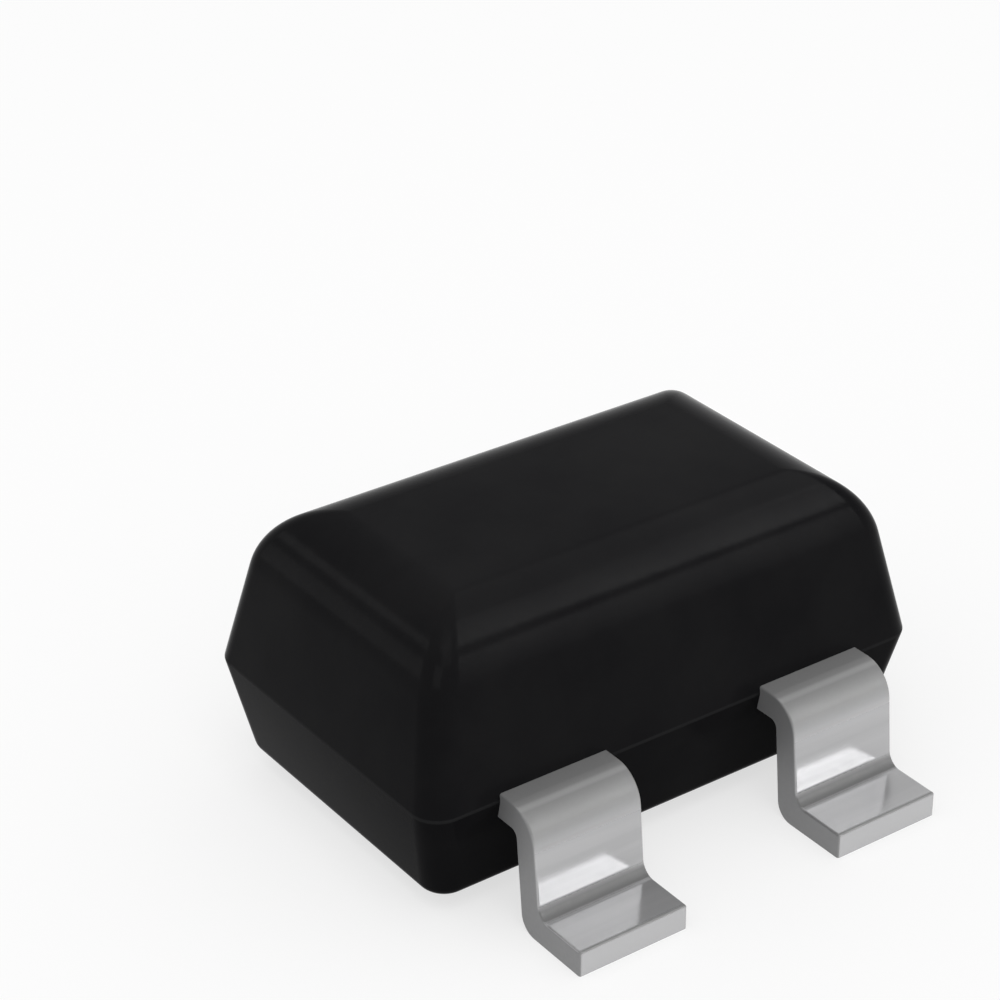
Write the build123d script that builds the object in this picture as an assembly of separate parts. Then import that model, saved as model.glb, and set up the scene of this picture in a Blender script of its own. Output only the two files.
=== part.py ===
from build123d import *
import os
from math import atan2, ceil, cos, degrees, radians, tan

# Three-lead moulded diode package: two varactor dies on one cathode plate, each wired to its own anode lead.
# Sizes are in millimetres. Z is up from the board, X runs along the body and Y across the leads.
# The two anode leads leave the body on the -Y side and the single cathode lead on the +Y side.

# Moulded body
body_length = 2.00  # along X, at the parting plane
body_width = 1.28  # along Y, at the parting plane
body_top = 1.00
parting_height = 0.42  # where the two mould halves meet
stand_off = 0.06  # air gap between the board and the body
draft_angle = 11.4  # lean of the side walls in both halves, degrees
top_rim_radius = 0.28
bottom_rim_radius = 0.055
corner_radius = 0.10  # upright corners of the mould

# Lead strip and its gull-wing form
strip_thickness = 0.09
lead_width = 0.42
lead_pitch = 1.05  # between the two anode leads
strip_drop = 0.02  # from the parting plane down to the middle of the strip
knee_reach = 0.125  # from the body to the corner of the knee, along the middle of the strip
leg_lean = 5.6  # outward lean of the leg, degrees
foot_length = 0.255  # from the ankle's corner to the toe, along the middle of the strip
knee_outer_radius = 0.12
knee_inner_radius = 0.03
ankle_radius = 0.05
heel_radius = 0.065
strip_edge_radius = 0.008  # rolled edges of the cut strip

# Plates inside the body, cut from the same strip
paddle_setback = 0.20  # from the body's side in to the cathode plate
paddle_end_margin = 0.10  # plate left beyond each die, along X
post_length = 0.52  # anode bond post, along X
post_depth = 0.22  # along Y
post_setback = 0.14  # from the body's side in to the bond post
plate_gap = 0.14  # between the bond posts and the cathode plate
plate_corner_radius = 0.04
root_depth = 0.05  # how far the lead's strip runs on into its plate

# Dies, their bond lines and their wires
die_side = 0.30
die_height = 0.12
die_pitch = 0.70  # between the middles of the dies
mesa_base_radius = 0.085  # raised anode contact on the die
mesa_top_radius = 0.070
mesa_height = 0.015
bond_line_height = 0.02
bond_line_spread = 0.03  # beyond the die, at the plate
bond_line_lip = 0.012  # beyond the die, at the die's underside
bond_line_corner = 0.03
wire_radius = 0.0125
ball_radius = 0.036
ball_height = 0.014
ball_cone_height = 0.010
neck_base_radius = 0.022
neck_height = 0.016
loop_rise = 0.095  # from the top of the ball to the highest run of the wire
loop_share = 0.36  # part of the span that the level run takes
loop_first_bend = 0.045
loop_second_bend = 0.12
loop_turn = 23  # largest turn of the wire at one joint of its bends, degrees
stitch_length = 0.10
stitch_width = 0.055
stitch_height = 0.012
stitch_tip_share = 0.55  # size of the stitch's top against its foot

# Levels and places that follow from the sizes above
side_wall = body_width / 2
strip_middle = parting_height - strip_drop
strip_top = strip_middle + strip_thickness / 2
strip_bottom = strip_middle - strip_thickness / 2
die_base = strip_top + bond_line_height
mesa_base = die_base + die_height
ball_base = mesa_base + mesa_height
ball_top = ball_base + ball_height + ball_cone_height
paddle_outer = side_wall - paddle_setback
paddle_depth = body_width - paddle_setback - post_setback - post_depth - plate_gap
paddle_length = die_pitch + die_side + 2 * paddle_end_margin
die_y = paddle_outer - paddle_depth / 2
post_outer = side_wall - post_setback
stitch_y = -(post_outer - post_depth / 2)
sides = {"left": -1, "right": 1}


def top_rim(block):
    """The edges round the top face of a block."""
    return block.faces().sort_by(Axis.Z)[-1].edges()


def upright_corners(block):
    """The edges that rise from the corners of a block's base."""
    base = block.bounding_box().min.Z
    rising = [e for e in block.edges() if len({round(v.Z - base, 3) == 0 for v in e.vertices()}) == 2]
    return ShapeList(rising)


def mould_half(height, rim_radius):
    """One cavity of the mould, filled: a drafted block on the origin, rounded at its top rim and upright corners."""
    half = extrude(Rectangle(body_length, body_width), amount=height, taper=draft_angle)
    roundings = [(rim_radius, top_rim), (corner_radius, upright_corners)]
    for radius, edges_of in sorted(roundings, key=lambda rounding: -rounding[0]):  # the smaller runs over the larger
        half = half.fillet(radius, edges_of(half))
    return half


def moulded_block():
    """The whole body with nothing inside it: two mould halves that meet at the parting plane."""
    upper = mould_half(body_top - parting_height, top_rim_radius)
    lower = mirror(mould_half(parting_height - stand_off, bottom_rim_radius), about=Plane.XY)
    return Pos(0, 0, parting_height) * (upper + lower)


def leg_face(height, side):
    """How far out the leg's outer (side 1) or inner (side -1) face stands at a height."""
    lean = radians(leg_lean)
    middle = side_wall + knee_reach + (strip_middle - height) * tan(lean)
    return middle + side * strip_thickness / 2 / cos(lean)


def gull_wing(inner_end):
    """A formed lead strip that leaves the body on the +Y side, from inner_end inside the body to the toe."""
    toe = leg_face(strip_thickness / 2, 0) + foot_length
    corners = [
        ((inner_end, strip_top), 0),
        ((leg_face(strip_top, 1), strip_top), knee_outer_radius),
        ((leg_face(strip_thickness, 1), strip_thickness), ankle_radius),
        ((toe, strip_thickness), 0),
        ((toe, 0), 0),
        ((leg_face(0, -1), 0), heel_radius),
        ((leg_face(strip_bottom, -1), strip_bottom), knee_inner_radius),
        ((inner_end, strip_bottom), 0),
    ]
    outline = FilletPolyline([point for point, _ in corners], radius=[r for _, r in corners], close=True)
    strip = extrude(Plane.YZ * make_face(outline), amount=lead_width / 2, both=True)
    return strip.fillet(strip_edge_radius, rolled_edges(strip))


def rolled_edges(strip):
    """The edges that the cutting die rolls over: along the outer face of the strip, and round the top of its toe."""
    outer_faces = strip.faces().filter_by(lambda face: face.normal_at().Y + face.normal_at().Z > 0.5)
    side_edges = outer_faces.edges().filter_by(lambda edge: abs(edge.center().X) > lead_width / 4)
    toe_edges = strip.edges().group_by(Axis.Y)[-1].filter_by(lambda edge: edge.center().Z > strip_thickness / 4)
    return ShapeList(set(side_edges + toe_edges))


def plate(length, depth, outer_edge):
    """A flat plate of the strip inside the body, its outer edge at outer_edge on the +Y side."""
    outline = RectangleRounded(length, depth, plate_corner_radius)
    return Pos(0, outer_edge - depth / 2, strip_bottom) * extrude(outline, amount=strip_thickness)


def lead(length, depth, outer_edge):
    """A lead and its plate, stamped in one piece and formed, on the +Y side."""
    return gull_wing(outer_edge - root_depth) + plate(length, depth, outer_edge)


def bond_line(x):
    """The cured adhesive under one die, squeezed out a little round its foot."""
    foot = RectangleRounded(die_side + 2 * bond_line_spread, die_side + 2 * bond_line_spread, bond_line_corner)
    lip_side = die_side + 2 * bond_line_lip
    lip = RectangleRounded(lip_side, lip_side, bond_line_corner - bond_line_spread + bond_line_lip)
    return Pos(x, die_y, strip_top) * loft([foot, Pos(0, 0, bond_line_height) * lip])


def die(x):
    """One square die with the round raised contact of its anode on top."""
    chip = extrude(Rectangle(die_side, die_side), amount=die_height)
    mesa = frustum(mesa_base_radius, mesa_top_radius, mesa_height)
    return Pos(x, die_y, die_base) * (chip + Pos(0, 0, die_height) * mesa)


def frustum(base_radius, top_radius, height):
    """A cone frustum that stands on the origin."""
    return Cone(base_radius, top_radius, height, align=(Align.CENTER, Align.CENTER, Align.MIN))


def ball(x):
    """The flattened ball of a bond wire: a disc, the cone that the capillary presses into it, and the neck."""
    disc = Cylinder(ball_radius, ball_height, align=(Align.CENTER, Align.CENTER, Align.MIN))
    pressed = frustum(ball_radius, neck_base_radius, ball_cone_height)
    neck = frustum(neck_base_radius, wire_radius, neck_height)
    stack = disc + Pos(0, 0, ball_height) * pressed + Pos(0, 0, ball_height + ball_cone_height) * neck
    return Pos(x, die_y, ball_base) * stack


def stitch(x, heading):
    """The flattened end of a bond wire on its post, pointing along heading in degrees from +X."""
    foot = Ellipse(stitch_length / 2, stitch_width / 2)
    tip = Ellipse(stitch_length / 2 * stitch_tip_share, stitch_width / 2 * stitch_tip_share)
    return Pos(x, stitch_y, strip_top) * Rot(0, 0, heading) * loft([foot, Pos(0, 0, stitch_height) * tip])


def jointed(route):
    """The same route with each round bend as a few short straight runs, none turning by more than loop_turn."""
    points = [route @ 0]
    for edge in route.edges():
        turn = (edge % 0).get_angle(edge % 1)
        joints = max(1, ceil(turn / loop_turn))
        points += [edge @ ((joint + 1) / joints) for joint in range(joints)]
    return Polyline(points)


def bond_wire(side):
    """A gold wire from its ball on the die, over a loop, to its stitch on the anode post."""
    start = Vector(side * die_pitch / 2, die_y, ball_base + ball_height / 2)
    end = Vector(side * lead_pitch / 2, stitch_y, strip_top)
    span = Vector(end.X - start.X, end.Y - start.Y, 0)
    shoulder = Vector(start.X, start.Y, ball_top + loop_rise)
    crest = shoulder + span * loop_share
    past_end = end + (end - crest).normalized() * 4 * wire_radius
    route = FilletPolyline([start, shoulder, crest, past_end], radius=[loop_first_bend, loop_second_bend])
    section = Plane(origin=start, z_dir=(0, 0, 1)) * Circle(wire_radius)
    heading = degrees(atan2(span.Y, span.X))
    wire = sweep(section, path=jointed(route), transition=Transition.RIGHT) + ball(start.X) + stitch(end.X, heading)
    return split(wire, bisect_by=Plane(origin=(0, 0, strip_top)), keep=Keep.TOP)


def build():
    """Every piece of the diode by node name, with the body moulded round the rest."""
    pieces = {"cathode_lead": lead(paddle_length, paddle_depth, paddle_outer)}
    for name, side in sides.items():
        anode = Rot(0, 0, 180) * lead(post_length, post_depth, post_outer)
        pieces["anode_lead_" + name] = Pos(side * lead_pitch / 2, 0, 0) * anode
        pieces["die_attach_" + name] = bond_line(side * die_pitch / 2)
        pieces["diode_die_" + name] = die(side * die_pitch / 2)
        pieces["bond_wire_" + name] = bond_wire(side)
    body = moulded_block()
    for piece in pieces.values():
        body = body - piece
    return {"moulded_body": body, **pieces}


os.makedirs("parts", exist_ok=True)
for node, shape in build().items():
    export_step(shape, "parts/" + node + ".step")
    size = shape.bounding_box().size
    print(f"{node}: {len(shape.solids())} solid, {shape.volume:.6f} mm3, {size.X:.3f} x {size.Y:.3f} x {size.Z:.3f}")
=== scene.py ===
from math import acos, cos, pi, radians, sin, tan

import bmesh
import bpy
from mathutils import Matrix, Vector


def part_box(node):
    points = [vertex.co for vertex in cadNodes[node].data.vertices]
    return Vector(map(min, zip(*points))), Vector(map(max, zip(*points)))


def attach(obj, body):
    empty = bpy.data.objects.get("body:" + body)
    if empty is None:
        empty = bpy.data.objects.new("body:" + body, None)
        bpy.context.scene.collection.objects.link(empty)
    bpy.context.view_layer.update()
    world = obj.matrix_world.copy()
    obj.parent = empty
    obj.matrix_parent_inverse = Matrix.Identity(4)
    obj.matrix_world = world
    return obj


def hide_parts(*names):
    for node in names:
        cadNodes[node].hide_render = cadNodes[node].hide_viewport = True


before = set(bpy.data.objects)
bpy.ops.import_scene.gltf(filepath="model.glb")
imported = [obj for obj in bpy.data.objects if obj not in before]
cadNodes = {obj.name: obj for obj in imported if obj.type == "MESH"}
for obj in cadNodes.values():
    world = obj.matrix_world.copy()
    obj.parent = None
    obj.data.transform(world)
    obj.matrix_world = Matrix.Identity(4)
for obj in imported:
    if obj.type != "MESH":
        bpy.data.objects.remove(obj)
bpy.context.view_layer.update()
mm = 0.001  # the frame is in metres, the sizes below are in millimetres
bodyLow, bodyHigh = [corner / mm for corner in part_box("moulded_body")]
print("frame loaded,", len(cadNodes), "pieces")


# helpers for node trees; every noise below is given as scale per millimetre, detail and roughness

noiseSpan = (0.3, 0.7)  # nearly all values of a noise lie in here
cloudSpan = (0.35, 0.65)  # a narrower span gives more contrast


def newMaterial(name, metal):
    material = bpy.data.materials.new(name)
    material.use_nodes = True
    shader = material.node_tree.nodes["Principled BSDF"]
    shader.inputs["Metallic"].default_value = metal
    return material, material.node_tree, shader


def place(tree, kind, inputs=None, **settings):
    node = tree.nodes.new("ShaderNode" + kind)
    for name, value in settings.items():
        setattr(node, name, value)
    for name, value in (inputs or {}).items():
        if isinstance(value, bpy.types.NodeSocket):
            tree.links.new(value, node.inputs[name])
        else:
            node.inputs[name].default_value = value
    return node


def feed(tree, shader, sockets):
    for name, value in sockets.items():
        tree.links.new(value, shader.inputs[name])


def calculated(tree, operation, *values):
    return place(tree, "Math", dict(enumerate(values)), operation=operation).outputs[0]


def either(tree, first, second):
    return calculated(tree, "MAXIMUM", first, second)


def parted(tree, vector):
    return place(tree, "SeparateXYZ", {0: vector}).outputs


def inMillimetres(tree, stretch=(1, 1, 1)):
    where = place(tree, "TexCoord").outputs["Object"]
    scaled = [s / mm for s in stretch]
    return place(tree, "VectorMath", {0: where, 1: scaled}, operation="MULTIPLY").outputs[0]


def faceDirection(tree):
    return parted(tree, place(tree, "TexCoord").outputs["Normal"])


def noise(tree, where, scale, detail, roughness):
    inputs = {"Vector": where, "Scale": scale, "Detail": detail, "Roughness": roughness}
    return place(tree, "TexNoise", inputs).outputs["Fac"]


def mapped(tree, value, low, high, toLow, toHigh):
    inputs = {"Value": value, "From Min": low, "From Max": high, "To Min": toLow, "To Max": toHigh}
    return place(tree, "MapRange", inputs).outputs["Result"]


def spread(tree, noisy, ends):
    return mapped(tree, noisy, *noiseSpan, *ends)


def banded(tree, value, band):
    low, lowFull, highFull, high = band
    rise = mapped(tree, value, low, lowFull, 0, 1)
    fall = mapped(tree, value, highFull, high, 1, 0)
    return calculated(tree, "MULTIPLY", rise, fall)


# the Mix node takes two numbers at its sockets 2 and 3, and two colours at 6 and 7
def levelled(tree, share, first, second):
    return place(tree, "Mix", {0: share, 2: first, 3: second}, data_type="FLOAT").outputs[0]


def blended(tree, share, first, second):
    colours = [c if isinstance(c, bpy.types.NodeSocket) else (*c, 1) for c in (first, second)]
    inputs = {0: share, 6: colours[0], 7: colours[1]}
    return place(tree, "Mix", inputs, data_type="RGBA").outputs[2]


def mottled(tree, noisy, first, second):
    return blended(tree, mapped(tree, noisy, *cloudSpan, 0, 1), first, second)


def bumped(tree, height, depth, under=None):
    inputs = {"Height": height, "Strength": 1.0, "Distance": depth * mm}
    if under:
        inputs["Normal"] = under
    return place(tree, "Bump", inputs).outputs["Normal"]


# the moulded body

epoxyBody = {
    "parting": 0.42,  # height of the plane where the mould halves meet
    "draft": 11.4,  # lean of the walls, degrees
    "topRim": 0.28,
    "footRim": 0.055,
    "corner": 0.10,
    "partingRound": 0.007,  # the parting edge is worn this much round
    "rimSteps": 24, "cornerSteps": 14, "partingSteps": 4, "footSteps": 8,
    "hardEdge": 32,  # edges that turn by more than this stay hard, degrees
    "metal": 0,
    "deep": (0.0049, 0.0048, 0.0053), "light": (0.0066, 0.0065, 0.0069),
    "clouds": (2.6, 4, 0.6), "grain": (55, 4, 0.6),
    "pitDepth": 0.0003,
    "roughness": (0.13, 0.21),
    "partingHighlight": (0.012, 0.012, 0.0125),  # painted highlight: a pale line along the edge where the mould halves meet
    "partingBand": (-0.008, -0.004, 0.004, 0.008),  # heights of the painted highlight above the parting plane; the last two also split the sheen
    "sheen": {"upper": 0.018, "lower": 0.0067},  # the lower half of the mould leaves a duller finish
}
leastTurn = 1e-6  # directions nearer than this count as one, radians
mergeWithin = 1e-5  # points nearer than this become one
shortestEdge = 1e-6


def steps(count):
    return [i / count for i in range(count + 1)]


def between(start, end, share):
    angle = acos(max(-1, min(1, start.dot(end))))
    if angle < leastTurn:
        return start.copy()
    return (start * sin((1 - share) * angle) + end * sin(share * angle)) / sin(angle)


# loops of points round the body, from the flat top down to the flat underside
def bodyLoops(form):
    top, bottom, parting = bodyHigh.z, bodyLow.z, form["parting"]
    halfLength, halfWidth = bodyHigh.x, bodyHigh.y
    lean = radians(form["draft"])
    rim, foot, corner = form["topRim"], form["footRim"], form["corner"]
    rimMiddle = top - rim
    inset = (rimMiddle - parting) * tan(lean) + rim / cos(lean)
    flatX, flatY = halfLength - inset, halfWidth - inset
    axis = Vector((halfLength - corner / cos(lean), halfWidth - corner / cos(lean), parting))

    def facing(share, angle):
        return between(Vector((cos(angle), 0, sin(angle))), Vector((0, cos(angle), sin(angle))), share)

    def rimPoint(share, step):
        angle = pi / 2 + (lean - pi / 2) * step
        outward = Vector((cos(angle), cos(angle), sin(angle)))
        return Vector((flatX, flatY, rimMiddle)) + (rim - corner) * outward + corner * facing(share, angle)

    def wallPoint(share, height, side, radius=corner):
        point = axis + radius * facing(share, side * lean)
        slide = side * (height - point.z)
        return point + slide * Vector((-tan(lean), -tan(lean), side))

    def partingPoint(share, step):
        half = form["partingRound"]
        above = wallPoint(share, parting + half, 1)
        edge = wallPoint(share, parting, 1)
        below = wallPoint(share, parting - half, -1)
        return above * (1 - step) ** 2 + edge * 2 * step * (1 - step) + below * step ** 2

    def footPoint(share, step):
        middle = wallPoint(share, bottom + foot, -1, corner - foot)
        return middle + foot * between(facing(share, -lean), Vector((0, 0, -1)), step)

    def wholeLoop(cornerPoint, step):
        loop = []
        for sideX, sideY in ((1, 1), (-1, 1), (-1, -1), (1, -1)):
            shares = steps(form["cornerSteps"])
            for share in shares if sideX * sideY > 0 else reversed(shares):
                x, y, z = cornerPoint(share, step)
                loop.append(Vector((sideX * x, sideY * y, z)))
        return loop

    stretches = {"rimSteps": rimPoint, "partingSteps": partingPoint, "footSteps": footPoint}
    return [wholeLoop(point, step) for name, point in stretches.items() for step in steps(form[name])]


def skinned(name, loops):
    mesh = bpy.data.meshes.new(name)
    bm = bmesh.new()
    rings = [[bm.verts.new(point * mm) for point in loop] for loop in loops]
    for upper, lower in zip(rings, rings[1:]):
        for i in range(len(upper)):
            j = (i + 1) % len(upper)
            bm.faces.new((upper[i], lower[i], lower[j], upper[j]))
    bm.faces.new(rings[0])
    bm.faces.new(list(reversed(rings[-1])))
    bmesh.ops.remove_doubles(bm, verts=bm.verts, dist=mergeWithin * mm)
    bmesh.ops.dissolve_degenerate(bm, edges=bm.edges, dist=shortestEdge * mm)
    bmesh.ops.recalc_face_normals(bm, faces=bm.faces)
    bm.to_mesh(mesh)
    bm.free()
    piece = bpy.data.objects.new(name, mesh)
    bpy.context.scene.collection.objects.link(piece)
    return piece


def smoothShaded(piece, hardEdge):
    piece.data.shade_smooth()
    piece.data.set_sharp_from_angle(angle=radians(hardEdge))
    weighted = piece.modifiers.new("even normals", "WEIGHTED_NORMAL")
    weighted.keep_sharp = True
    weighted.weight = 100  # the large flat faces decide


def epoxyMaterial(look):
    material, tree, shader = newMaterial("black moulded epoxy", look["metal"])
    where = inMillimetres(tree)
    height = parted(tree, where)["Z"]
    clouds = noise(tree, where, *look["clouds"])
    grain = noise(tree, where, *look["grain"])
    band = [look["parting"] + rise for rise in look["partingBand"]]
    colour = mottled(tree, clouds, look["deep"], look["light"])
    sheen = look["sheen"]
    feed(tree, shader, {
        # painted highlight: a paler colour in a thin band along the parting edge
        "Base Color": blended(tree, banded(tree, height, band), colour, look["partingHighlight"]),
        "Roughness": spread(tree, grain, look["roughness"]),
        "Specular IOR Level": mapped(tree, height, *band[2:], sheen["lower"], sheen["upper"]),
        "Normal": bumped(tree, grain, look["pitDepth"]),
    })
    return material


body = skinned("epoxy_body", bodyLoops(epoxyBody))
smoothShaded(body, epoxyBody["hardEdge"])
body.data.materials.append(epoxyMaterial(epoxyBody))
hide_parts("moulded_body")
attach(body, "root")
print("body", len(body.data.polygons), "faces")


# the tinned leads

tinnedLead = {
    "metal": 0.5,
    "tones": {
        "thin": (0.42, 0.42, 0.425), "full": (0.46, 0.46, 0.465),  # the tin on the flats
        # the crease tone is painted shade: a dark colour in the concave bend at the ankle
        "bent": (0.29, 0.29, 0.29), "ridge": (0.37, 0.37, 0.37), "creaseShade": (0.20, 0.20, 0.20),
        "toeEnd": (0.49, 0.49, 0.495), "cut": (0.25, 0.25, 0.253),
        "tarnished": (0.62, 0.36, 0.22), "clean": (0.70, 0.43, 0.28),  # the bare copper inside the body
    },
    "zones": {
        "knee": (0.335, 0.385), "kneeDull": (0.314, 0.334),  # heights, as the next two
        "ridge": (0.433, 0.437, 0.440, 0.4425), "ankle": (0.0905, 0.094, 0.114, 0.136),
        "toe": (1.042, 1.046, 1.0541, 1.0547), "toeEnd": (1.0541, 1.0547),  # how far out, as the next
        "tinned": (0.60, 0.62),  # where the tin starts
        "cut": (0.6, 0.9),  # how much a face looks along X
    },
    "grain": (60, 4, 0.6),
    "rolled": (1, 3, 0.5), "rollStretch": (1.0, 22, 22), "rollDepth": 0.0004,
    "smooth": (0.11, 0.16), "rough": (0.46, 0.54),
}


def tinMaterial(look):
    material, tree, shader = newMaterial("tinned strip", look["metal"])
    tones, zones = look["tones"], look["zones"]
    where = inMillimetres(tree)
    part = parted(tree, where)
    out = calculated(tree, "ABSOLUTE", part["Y"])
    sideways = calculated(tree, "ABSOLUTE", faceDirection(tree)["X"])
    grain = noise(tree, where, *look["grain"])
    rolled = noise(tree, inMillimetres(tree, look["rollStretch"]), *look["rolled"])
    knee = mapped(tree, part["Z"], *zones["knee"], 0, 1)
    ankle = banded(tree, part["Z"], zones["ankle"])
    bent = either(tree, knee, banded(tree, out, zones["toe"]))
    cut = mapped(tree, sideways, *zones["cut"], 0, 1)
    over = {
        "bent": bent,
        "ridge": banded(tree, part["Z"], zones["ridge"]),
        # painted shade: the concave bend at the ankle gets the dark crease colour
        "creaseShade": ankle,
        "toeEnd": mapped(tree, out, *zones["toeEnd"], 0, 1),
        "cut": cut,
    }
    tin = mottled(tree, rolled, tones["thin"], tones["full"])
    for tone, share in over.items():
        tin = blended(tree, share, tin, tones[tone])
    copper = mottled(tree, grain, tones["tarnished"], tones["clean"])
    kneeDull = mapped(tree, part["Z"], *zones["kneeDull"], 0, 1)
    dull = either(tree, either(tree, bent, ankle), either(tree, cut, kneeDull))
    smooth, rough = spread(tree, grain, look["smooth"]), spread(tree, grain, look["rough"])
    feed(tree, shader, {
        "Base Color": blended(tree, mapped(tree, out, *zones["tinned"], 0, 1), copper, tin),
        "Roughness": levelled(tree, dull, smooth, rough),
        "Normal": bumped(tree, rolled, look["rollDepth"]),
    })
    return material


def dressed(names, material):
    for name in names:
        for slot in cadNodes[name].material_slots:
            slot.material = material


leads = ["cathode_lead", "anode_lead_left", "anode_lead_right"]
dressed(leads, tinMaterial(tinnedLead))
print("leads finished")


# the dies, their adhesive and their wires

diodeDie = {
    "metal": 0.6,
    "silicon": (0.075, 0.085, 0.12), "film": (0.10, 0.12, 0.19),
    "contact": (0.78, 0.74, 0.66),
    "contactFoot": (0.585, 0.586),  # heights where the raised contact starts
    "top": (0.3, 0.7),  # how much a face looks up where the top begins
    "clouds": (9, 3, 0.5), "crystals": (130, 4, 0.7), "crystalDepth": 0.0002,
    "sawn": (1, 3, 0.6), "sawStretch": (3, 3, 160), "sawDepth": 0.0006,
    "polished": (0.07, 0.16), "rough": (0.35, 0.6),  # roughness of the top and of the sides
}


def siliconMaterial(look):
    material, tree, shader = newMaterial("polished silicon", look["metal"])
    where = inMillimetres(tree)
    clouds = noise(tree, where, *look["clouds"])
    crystals = noise(tree, where, *look["crystals"])
    sawn = noise(tree, inMillimetres(tree, look["sawStretch"]), *look["sawn"])
    side = mapped(tree, faceDirection(tree)["Z"], *look["top"], 1, 0)
    contact = mapped(tree, parted(tree, where)["Z"], *look["contactFoot"], 0, 1)
    colour = mottled(tree, clouds, look["silicon"], look["film"])
    polished, rough = spread(tree, crystals, look["polished"]), spread(tree, sawn, look["rough"])
    feed(tree, shader, {
        "Base Color": blended(tree, contact, colour, look["contact"]),
        "Roughness": levelled(tree, side, polished, rough),
        "Normal": bumped(tree, sawn, look["sawDepth"], bumped(tree, crystals, look["crystalDepth"])),
    })
    return material


dieAttach = {
    "metal": 0.55,
    "resin": (0.30, 0.28, 0.24), "flakes": (0.70, 0.70, 0.68),
    "flakeScale": 140, "flakeDepth": 0.0008,
    "flakeSpan": (0.1, 0.6),  # from the middle of a flake to the resin round it
    "lumps": (40, 3, 0.6), "lumpDepth": 0.003,
    "roughness": (0.34, 0.62),
}


def pasteMaterial(look):
    material, tree, shader = newMaterial("silver filled adhesive", look["metal"])
    where = inMillimetres(tree)
    flakes = place(tree, "TexVoronoi", {"Vector": where, "Scale": look["flakeScale"]}).outputs["Distance"]
    lumps = noise(tree, where, *look["lumps"])
    shine = mapped(tree, flakes, *look["flakeSpan"], 1, 0)
    feed(tree, shader, {
        "Base Color": blended(tree, shine, look["resin"], look["flakes"]),
        "Roughness": mapped(tree, flakes, *look["flakeSpan"], *look["roughness"]),
        "Normal": bumped(tree, lumps, look["lumpDepth"], bumped(tree, flakes, look["flakeDepth"])),
    })
    return material


bondWire = {
    "metal": 1,
    "pale": (0.93, 0.68, 0.32), "deep": (0.86, 0.56, 0.22),
    "clouds": (14, 2, 0.5),
    "drawn": (180, 3, 0.6), "drawDepth": 0.0003,
    "roughness": (0.16, 0.34),
}


def goldMaterial(look):
    material, tree, shader = newMaterial("drawn gold wire", look["metal"])
    where = inMillimetres(tree)
    clouds = noise(tree, where, *look["clouds"])
    drawn = noise(tree, where, *look["drawn"])
    feed(tree, shader, {
        "Base Color": mottled(tree, clouds, look["pale"], look["deep"]),
        "Roughness": spread(tree, drawn, look["roughness"]),
        "Normal": bumped(tree, drawn, look["drawDepth"]),
    })
    return material


dressed(["diode_die_left", "diode_die_right"], siliconMaterial(diodeDie))
dressed(["die_attach_left", "die_attach_right"], pasteMaterial(dieAttach))
dressed(["bond_wire_left", "bond_wire_right"], goldMaterial(bondWire))
print("inner pieces finished")


# floor, world and lamps

paleFloor = {
    "size": 80,
    "colour": (0.97, 0.97, 0.97, 1),
    "shadow": 0.33,  # how much of the shadow shows
}
studio = {
    "ambient": 0.85,
    "horizon": 1.0,
    "ceiling": {"front": 0.25, "back": 0.7},
    "rise": (0.08, 0.5),  # heights from the horizon to the ceiling, 1 is straight up
    "reach": (-0.2, 0.5),  # from the ceiling's front to its back, 1 is level
}
plainWhite = (1, 1, 1, 1)


# white for the camera and in reflections, lit for the light that reaches the object
def whiteOrLit(tree, lit, white):
    path = place(tree, "LightPath").outputs
    mirrored = either(tree, path["Is Glossy Ray"], path["Is Transmission Ray"])
    seen = either(tree, path["Is Camera Ray"], mirrored)
    return place(tree, "MixShader", {0: seen, 1: lit, 2: white}).outputs[0]


def makeFloor(look):
    half = look["size"] / 2 * mm
    corners = [(-half, -half, 0), (half, -half, 0), (half, half, 0), (-half, half, 0)]
    mesh = bpy.data.meshes.new("floor")
    mesh.from_pydata(corners, [], [(0, 1, 2, 3)])
    floor = bpy.data.objects.new("floor", mesh)
    bpy.context.scene.collection.objects.link(floor)
    material = bpy.data.materials.new("pale floor")
    material.use_nodes = True
    tree = material.node_tree
    tree.nodes.clear()
    lit = place(tree, "BsdfDiffuse", {"Color": look["colour"]}).outputs[0]
    white = place(tree, "Emission", {"Color": plainWhite, "Strength": 1.0}).outputs[0]
    shaded = place(tree, "MixShader", {0: look["shadow"], 1: white, 2: lit}).outputs[0]
    tree.links.new(whiteOrLit(tree, lit, shaded), place(tree, "OutputMaterial").inputs[0])
    mesh.materials.append(material)


def makeWorld(look):
    world = bpy.data.worlds.new("studio")
    bpy.context.scene.world = world
    world.use_nodes = True
    tree = world.node_tree
    tree.nodes.clear()
    lit = place(tree, "Background", {"Color": plainWhite, "Strength": look["ambient"]}).outputs[0]
    heading = parted(tree, place(tree, "TexCoord").outputs["Generated"])
    front, back = look["ceiling"]["front"], look["ceiling"]["back"]
    ceiling = mapped(tree, heading["Y"], *look["reach"], front, back)
    strength = mapped(tree, heading["Z"], *look["rise"], look["horizon"], ceiling)
    white = place(tree, "Background", {"Color": plainWhite, "Strength": strength}).outputs[0]
    tree.links.new(whiteOrLit(tree, lit, white), place(tree, "OutputWorld").inputs[0])


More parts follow.
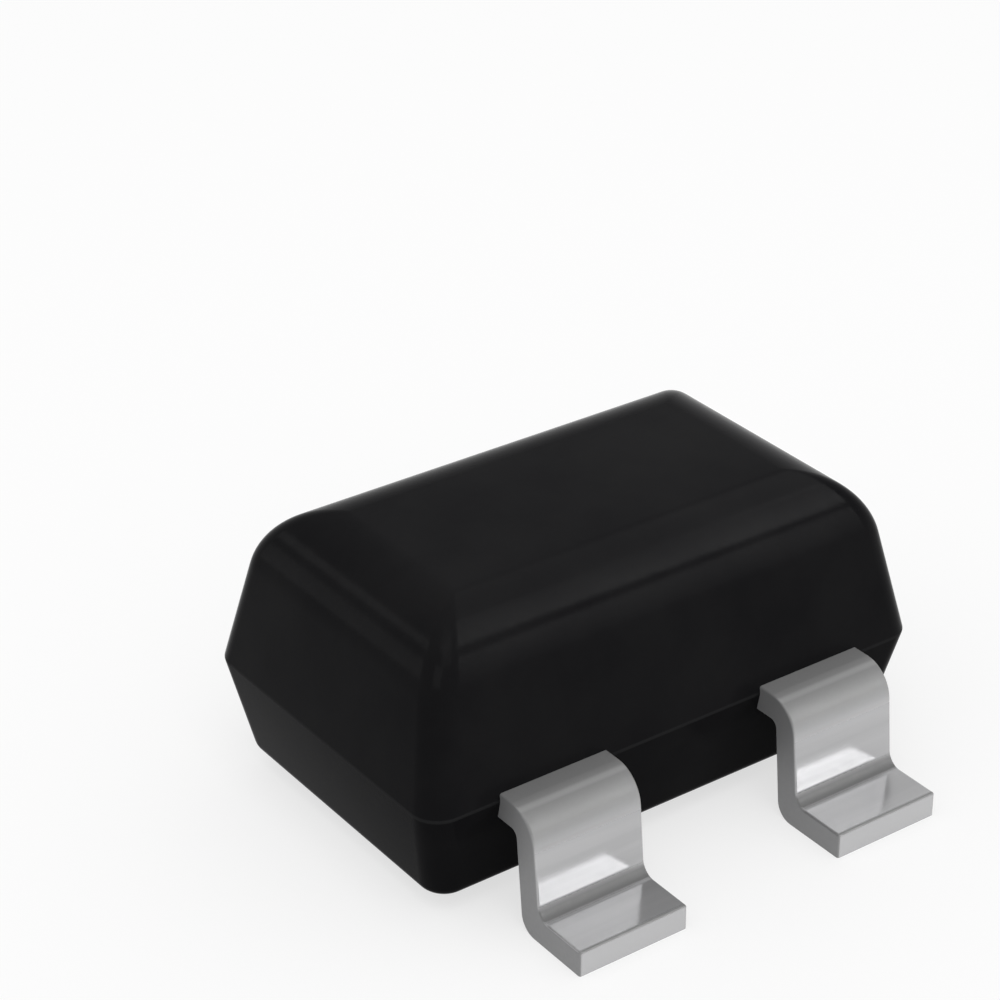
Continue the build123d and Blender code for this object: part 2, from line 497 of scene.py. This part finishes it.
# turn is measured from the front towards +X, and height from the floor, in degrees;
# glow runs from a lamp's left end to its right end, fade from its bottom to its top
lamps = {
    "overhead softbox": {"turn": -25, "height": 66, "size": (17, 17), "glow": (1.6, 1.6)},
    "rim softbox": {
        "turn": 64.7, "height": 53.2, "roll": 31, "size": (15.7, 10),
        "glow": (10.3, 3.6), "fade": (1.15, 0.77), "lights": ["epoxy_body"],
    },
    "high rim softbox": {
        "turn": 117.2, "height": 51.9, "roll": -33, "size": (18.5, 9),
        "glow": (3.6, 0.9), "fade": (1.25, 0.35), "lights": ["epoxy_body"],
    },
    "low rim softbox": {
        "turn": 36, "height": 22.7, "roll": 74, "size": (15.7, 10),
        "glow": (0.8, 6.2), "lights": ["epoxy_body"],
    },
    "end line softbox": {
        "turn": -144.8, "height": 29.6, "roll": -55, "size": (4, 8),
        "glow": (2.4, 2.4), "lights": ["epoxy_body"],
    },
    "low end softbox": {
        "turn": -136.4, "height": 10.5, "roll": -79, "size": (8.5, 8),
        "glow": (1.4, 1.4), "lights": ["epoxy_body"],
    },
    "corner softbox": {
        "turn": -62, "height": 36, "size": (14, 14), "glow": (2.6, 2.6), "lights": ["epoxy_body"],
    },
    "high corner softbox": {
        "turn": -60, "height": 80, "size": (15, 15), "glow": (1.0, 1.0), "lights": ["epoxy_body"],
    },
    "foot softbox": {"turn": 35.3, "height": 25.2, "size": (8, 5), "glow": (9.4, 9.4), "lights": leads},
    "leg softbox": {"turn": 46, "height": 43, "size": (8, 5), "glow": (3.4, 3.4), "lights": leads},
}
usualLamp = {
    "roll": 0,
    "fade": (1, 1),
    "lights": None,  # a lamp with no pieces named lights everything
    "distance": 30,
    "aimHeight": 0.4,  # of the point above the origin that every lamp looks at
}


def makeLamp(name, look):
    turn, height = radians(look["turn"]), radians(look["height"])
    outward = Vector((sin(turn) * cos(height), -cos(turn) * cos(height), sin(height)))
    width, depth = look["size"]
    light = bpy.data.lights.new(name, "AREA")
    light.shape = "RECTANGLE"
    light.size, light.size_y = width * mm, depth * mm
    light.energy = pi * width * depth * mm * mm  # at a glow of 1 the lamp is as bright as plain white
    light.use_nodes = True
    tree = light.node_tree
    across = parted(tree, place(tree, "NewGeometry").outputs["Parametric"])
    glow = mapped(tree, across["X"], 0, 1, *look["glow"])
    fade = mapped(tree, across["Y"], 0, 1, *look["fade"])
    feed(tree, tree.nodes["Emission"], {"Strength": calculated(tree, "MULTIPLY", glow, fade)})
    box = bpy.data.objects.new(name, light)
    aim = (-outward).to_track_quat("-Z", "Y").to_matrix().to_4x4()
    roll = Matrix.Rotation(radians(look["roll"]), 4, "Z")
    middle = outward * look["distance"] * mm + Vector((0, 0, look["aimHeight"] * mm))
    box.matrix_world = Matrix.Translation(middle) @ aim @ roll
    bpy.context.scene.collection.objects.link(box)
    if look["lights"]:
        lit = bpy.data.collections.new(name)
        for piece in look["lights"]:
            lit.objects.link(bpy.data.objects.get(piece) or cadNodes[piece])
        box.light_linking.receiver_collection = lit


makeFloor(paleFloor)
makeWorld(studio)
for name, look in lamps.items():
    makeLamp(name, {**usualLamp, **look})
print("studio ready")


# the camera, at the photograph's angle

shot = {
    "turn": -35.72, "height": 28.93, "roll": -0.13,
    "lens": 105.82, "sensor": 36.0,
    "offset": (-0.2240, 0.8409, 10.1308),  # from the object's origin: right, up and back
    "sees": (0.5, 500),  # nearest and farthest
}


def makeCamera(look):
    data = bpy.data.cameras.new("camera")
    data.lens, data.sensor_width = look["lens"], look["sensor"]
    data.clip_start, data.clip_end = [distance * mm for distance in look["sees"]]
    camera = bpy.data.objects.new("camera", data)
    turn = Matrix.Rotation(radians(look["turn"]), 4, "Z")
    tilt = Matrix.Rotation(radians(90 - look["height"]), 4, "X")
    roll = Matrix.Rotation(radians(look["roll"]), 4, "Z")
    heading = turn @ tilt @ roll
    camera.matrix_world = Matrix.Translation(heading @ (Vector(look["offset"]) * mm)) @ heading
    bpy.context.scene.collection.objects.link(camera)
    bpy.context.scene.camera = camera


makeCamera(shot)
bpy.context.scene.view_settings.view_transform = "Standard"
print("camera set")
